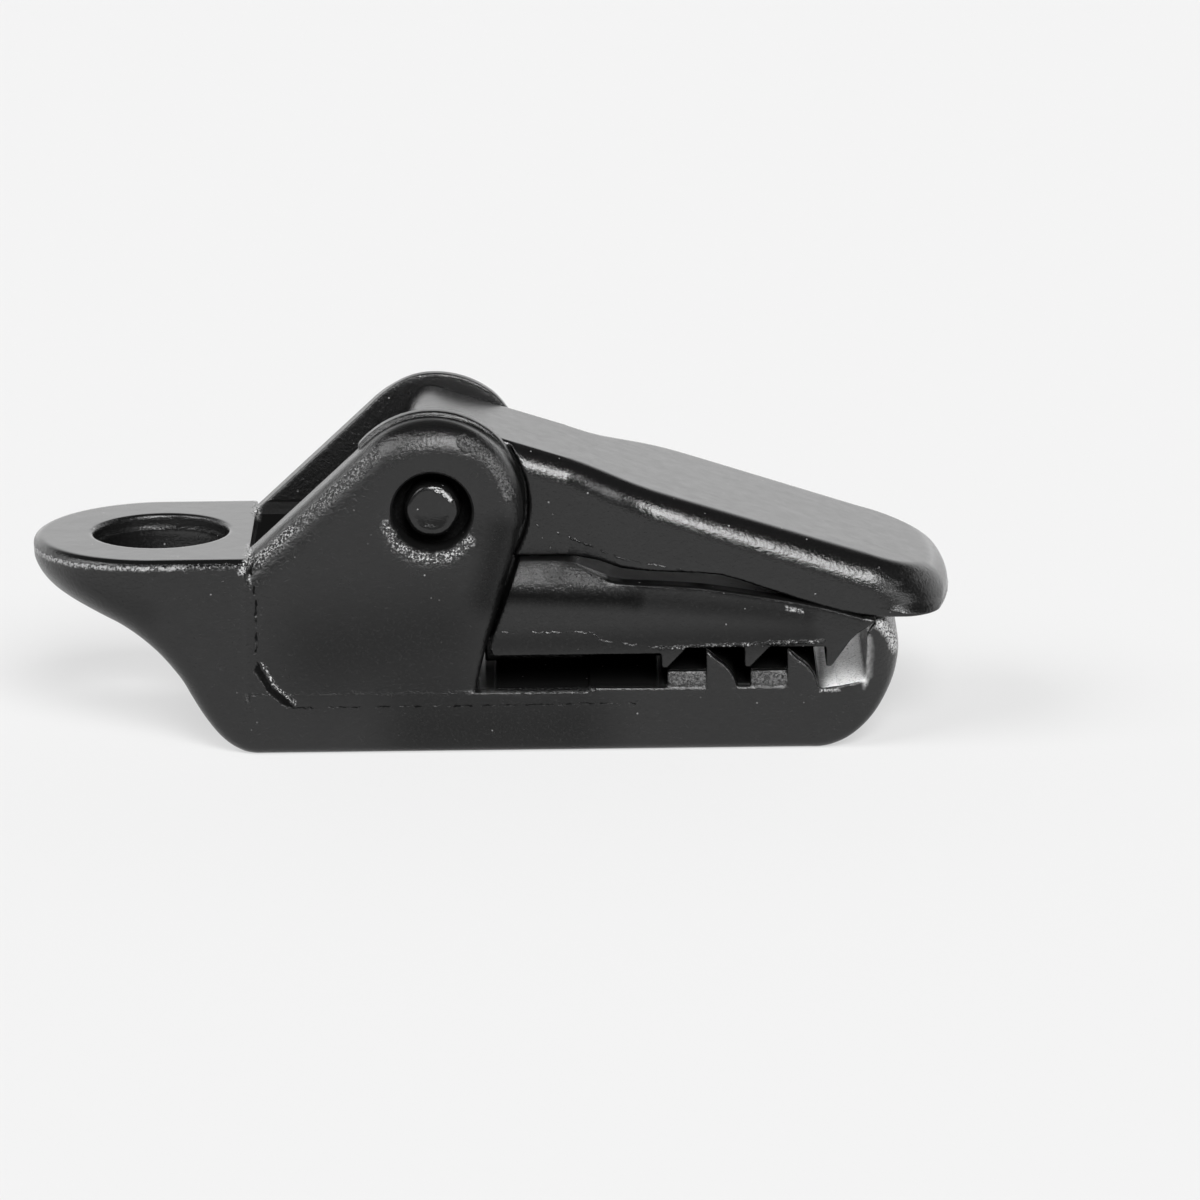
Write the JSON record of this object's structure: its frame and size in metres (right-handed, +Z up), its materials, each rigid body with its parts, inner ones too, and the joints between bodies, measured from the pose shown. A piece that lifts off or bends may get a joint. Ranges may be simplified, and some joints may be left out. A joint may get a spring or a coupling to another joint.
{
  "type": "tarp clip",
  "caption": "Small moulded tarp clip: an eyelet body with two ears, saw-toothed jaws that mesh, and a flared cam lever on a pin that presses them shut.",
  "frame": {"origin": "centre of the bounding box's base, on the flat the clip lies on", "axes": "+X from the eyelet to the lever's tip, Y across the width along the pin, +Z up from the flat base"},
  "size_m": [0.035, 0.0098, 0.013],
  "materials": {
    "body": "black nylon, fine matt moulding grain with a low sheen",
    "jaw": "black nylon, slightly smoother than the body",
    "lever": "black nylon with a low sheen on its top face",
    "pin": "black, smooth turned or moulded end"
  },
  "bodies": {
    "base": {"body": "body", "pivot_pin": "pin"},
    "jaw": {"upper_jaw": "jaw"},
    "lever": {"cam_lever": "lever"}
  },
  "joints": [
    {"name": "lever_hinge", "type": "hinge", "parent": "base", "child": "lever", "pos_m": [-0.00211, 0, 0.00935], "axis": [0, -1, 0], "range_deg": [0, 107.6]},
    {"name": "jaw_hinge", "type": "hinge", "parent": "base", "child": "jaw", "pos_m": [-0.0073, 0, 0.0061], "axis": [0, -1, 0], "range_deg": [0, 3.5]}
  ],
  "couplings": [
    {"joint": "jaw_hinge", "follows": "lever_hinge", "ratio": 0.03252}
  ]
}
